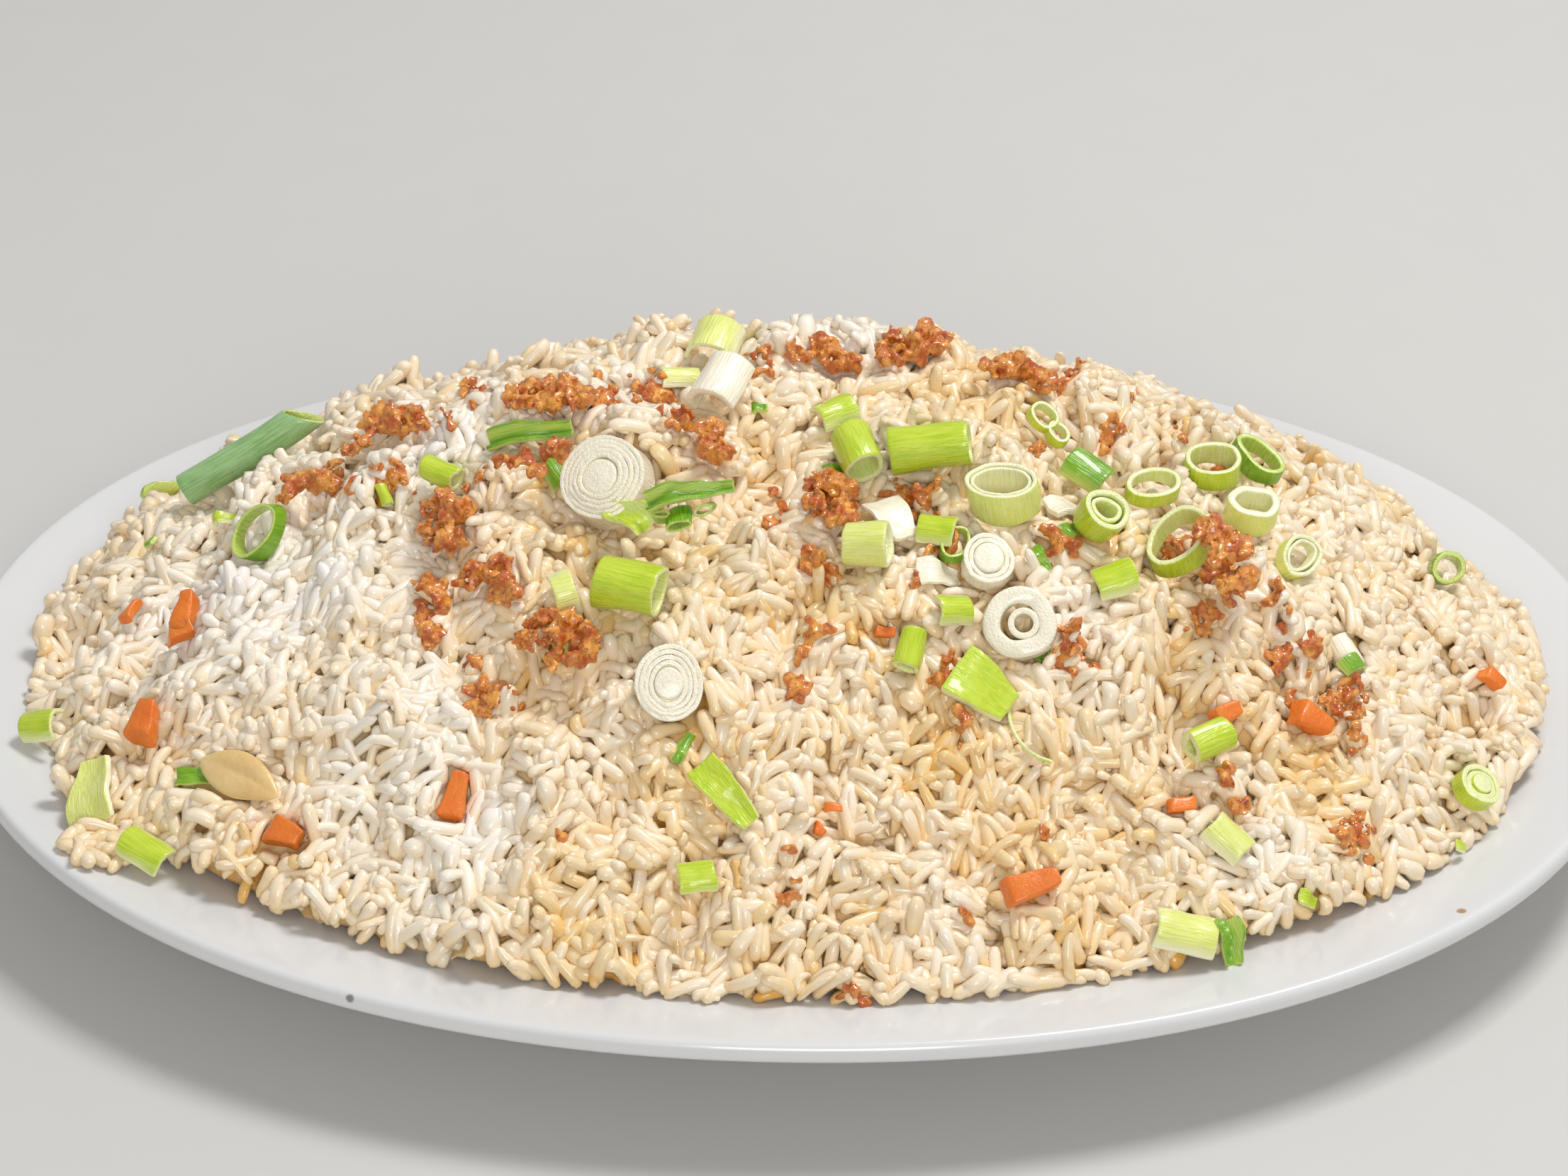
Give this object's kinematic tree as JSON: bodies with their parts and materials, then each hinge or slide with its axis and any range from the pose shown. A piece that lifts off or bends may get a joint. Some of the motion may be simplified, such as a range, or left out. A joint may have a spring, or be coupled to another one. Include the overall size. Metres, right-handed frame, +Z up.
{
  "type": "fried rice plate",
  "caption": "Oval white platter with a high heap of fried rice, topped with cut spring onion, fried garlic crumbs, carrot bits and a slice of garlic clove.",
  "frame": {"origin": "centre of the plate on the surface that it stands on", "axes": "+X along the plate's length, +Y along its width, towards the back of the heap, +Z up"},
  "size_m": [0.34, 0.2446, 0.0922],
  "materials": {
    "plate_glaze": "white glaze, soft gloss",
    "rice": "cooked rice, creamy white with soy-brown stains, slightly oily",
    "onion_green": "fresh green spring onion, moist",
    "onion_dark_green": "dark green spring onion leaf, waxy",
    "onion_pale": "pale yellow-green spring onion, moist",
    "onion_white": "white spring onion bulb, moist, slightly translucent",
    "garlic_fried": "fried garlic crumbs, orange-brown, oily",
    "garlic_clove": "cooked garlic clove, pale yellow, translucent"
  },
  "bodies": {
    "root": {"plate": "plate_glaze", "rice_heap": "rice", "onion_tube_long": "onion_green", "onion_curl_left": "onion_dark_green", "onion_tube_small": "onion_green", "onion_strip_back": "onion_dark_green", "bulb_slice_big": "onion_white", "onion_section_back": "onion_pale", "bulb_half_back": "onion_white", "onion_leaf_light": "onion_green", "onion_leaf_curly": "onion_dark_green", "onion_piece_top": "onion_green", "onion_tube_top": "onion_green", "onion_tube_lying": "onion_green", "onion_ring_pair": "onion_green", "onion_ring_pale": "onion_pale", "onion_petal": "onion_white", "onion_wedge_middle": "onion_green", "onion_tube_pale": "onion_pale", "bulb_piece": "onion_white", "onion_half_tube": "onion_green", "bulb_ring_white": "onion_white", "onion_cut_flat": "onion_green", "onion_wedge_front": "onion_green", "onion_strip_right": "onion_dark_green", "onion_ring_right": "onion_green", "onion_ring_thick": "onion_green", "onion_ring_large": "onion_green", "onion_wedge_right": "onion_green", "onion_ring_back": "onion_green", "onion_loop_back": "onion_dark_green", "onion_ring_yellow": "onion_pale", "onion_ring_faint": "onion_pale", "onion_ring_dark": "onion_dark_green", "onion_stem_right": "onion_green", "onion_ring_far_right": "onion_green", "onion_piece_right": "onion_pale", "onion_arch": "onion_pale", "onion_tube_front": "onion_green", "bulb_slice_front": "onion_white", "onion_strip_front": "onion_green", "onion_square_front": "onion_green", "onion_tube_on_rim": "onion_green", "onion_heart_left": "onion_pale", "onion_piece_left_edge": "onion_green", "onion_half_tube_edge": "onion_pale", "garlic_clove_slice": "garlic_clove", "garlic_arc_left": "garlic_fried", "garlic_far_left": "garlic_fried", "garlic_left_high": "garlic_fried", "garlic_left_low": "garlic_fried", "garlic_back_left": "garlic_fried", "garlic_middle": "garlic_fried", "garlic_by_slice": "garlic_fried", "garlic_top_left": "garlic_fried", "garlic_top": "garlic_fried", "garlic_centre": "garlic_fried", "garlic_back_right": "garlic_fried", "garlic_right": "garlic_fried", "garlic_front_left": "garlic_fried"}
  },
  "joints": []
}
